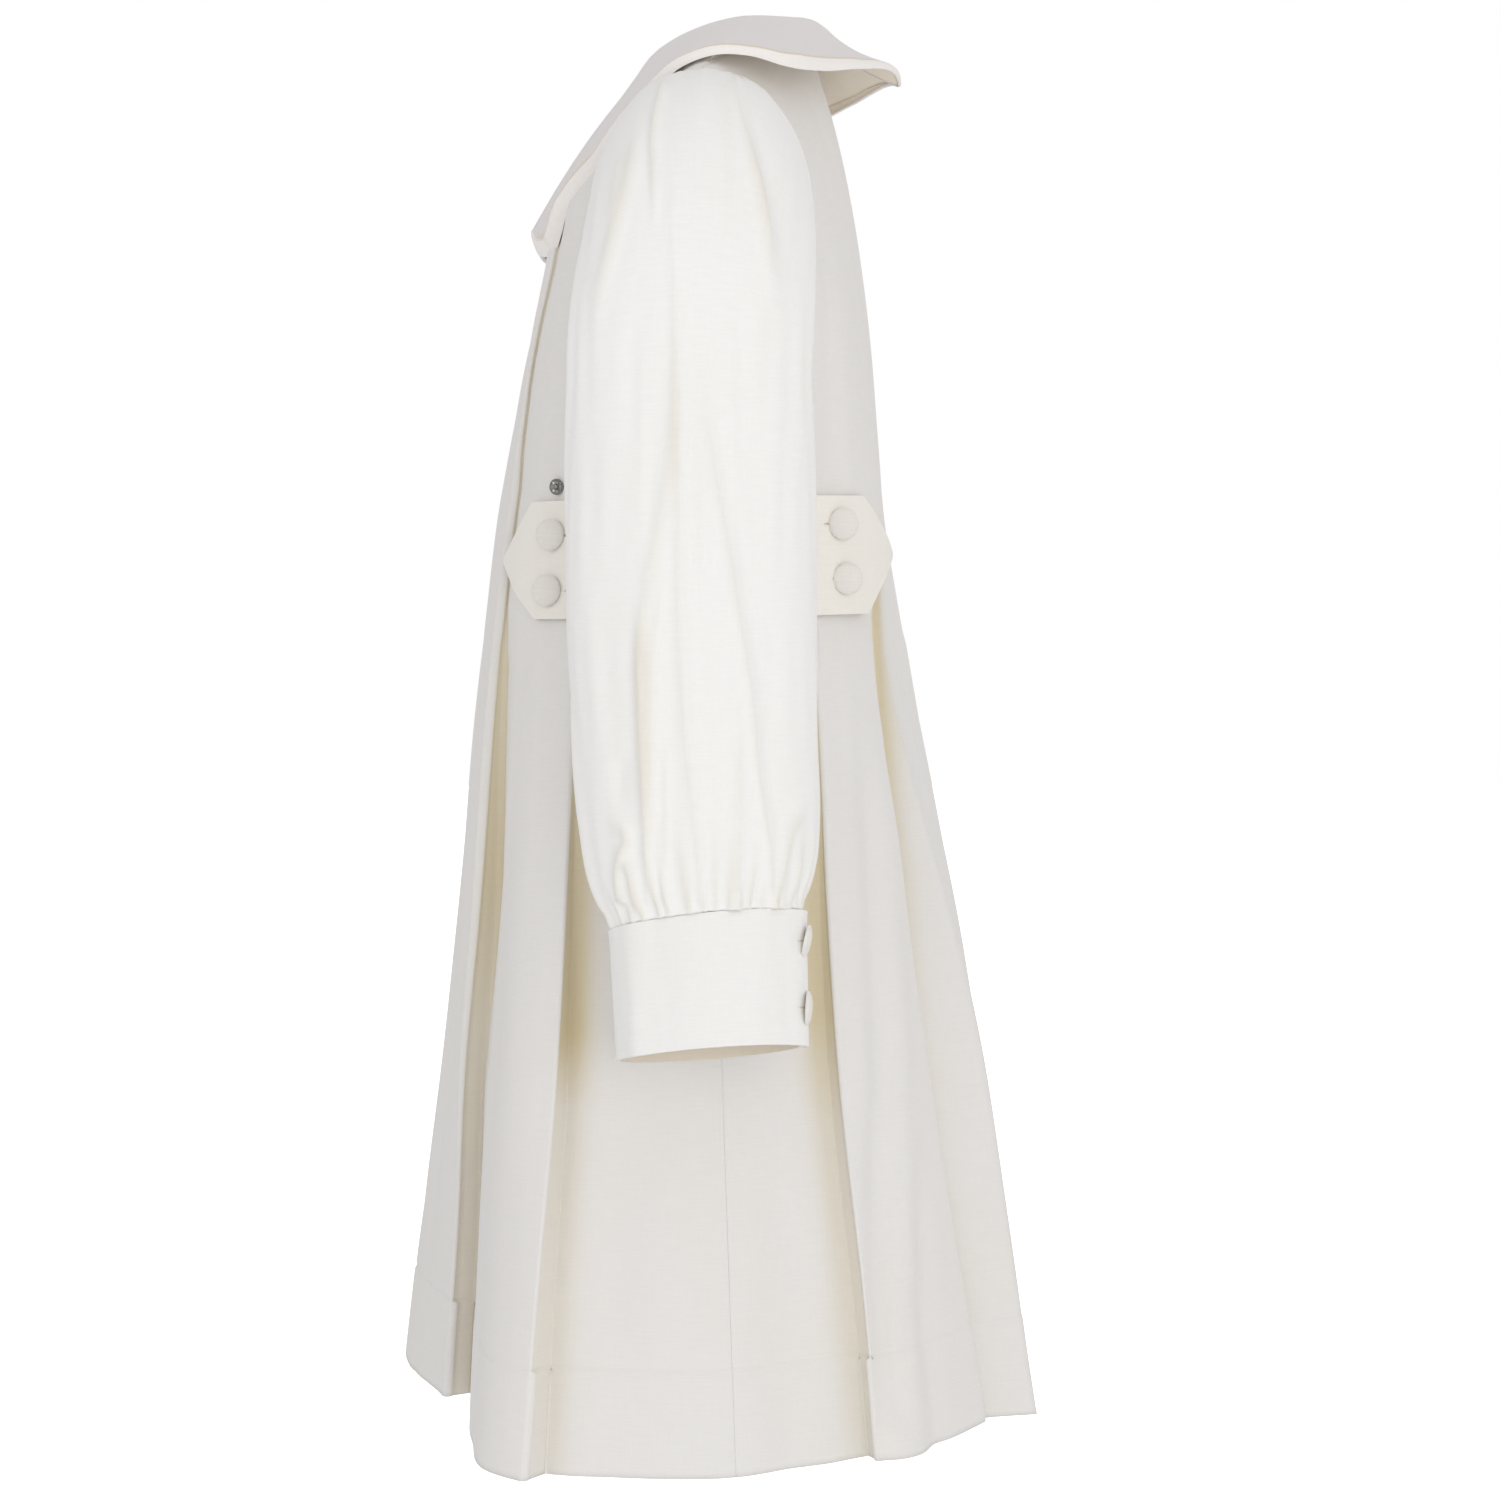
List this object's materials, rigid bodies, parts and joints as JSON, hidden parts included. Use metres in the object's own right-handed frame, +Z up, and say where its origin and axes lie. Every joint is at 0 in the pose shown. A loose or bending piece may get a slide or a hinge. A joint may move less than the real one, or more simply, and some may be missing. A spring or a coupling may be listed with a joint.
{
  "type": "flapper dress",
  "caption": "Worn ivory wool dress: wide split collar, full gathered sleeves with deep buttoned cuffs, buttoned belt tabs at the sides, pleated A-line skirt.",
  "frame": {"origin": "middle of the neck opening, level with the neck points of the shoulders, where the wearer's shoulders carry the dress", "axes": "+Z up, from hem to neck; the front looks along -Y; the wearer's left is +X"},
  "size_m": [0.7236, 0.4355, 0.9273],
  "materials": {
    "dress_wool": "matt ivory wool, finely woven",
    "sleeve_wool": "matt ivory wool, finely woven",
    "cuff_wool": "matt ivory wool, double",
    "collar_wool": "matt ivory wool, double, pressed edge",
    "tab_wool": "matt cream wool, double",
    "button_wool": "matt cream wool drawn over a button form",
    "stud_metal": "darkened steel"
  },
  "bodies": {
    "root": {"front": "dress_wool", "back": "dress_wool", "sleeve_left": "sleeve_wool", "sleeve_right": "sleeve_wool", "cuff_left": "cuff_wool", "cuff_right": "cuff_wool", "collar_left": "collar_wool", "collar_right": "collar_wool", "side_tab_left": "tab_wool", "side_tab_right": "tab_wool", "tab_button_front_upper_left": "button_wool", "tab_button_front_upper_right": "button_wool", "tab_button_front_lower_left": "button_wool", "tab_button_front_lower_right": "button_wool", "tab_button_back_upper_left": "button_wool", "tab_button_back_upper_right": "button_wool", "tab_button_back_lower_left": "button_wool", "tab_button_back_lower_right": "button_wool", "cuff_button_upper_left": "button_wool", "cuff_button_upper_right": "button_wool", "cuff_button_lower_left": "button_wool", "cuff_button_lower_right": "button_wool", "press_stud": "stud_metal"}
  },
  "joints": []
}
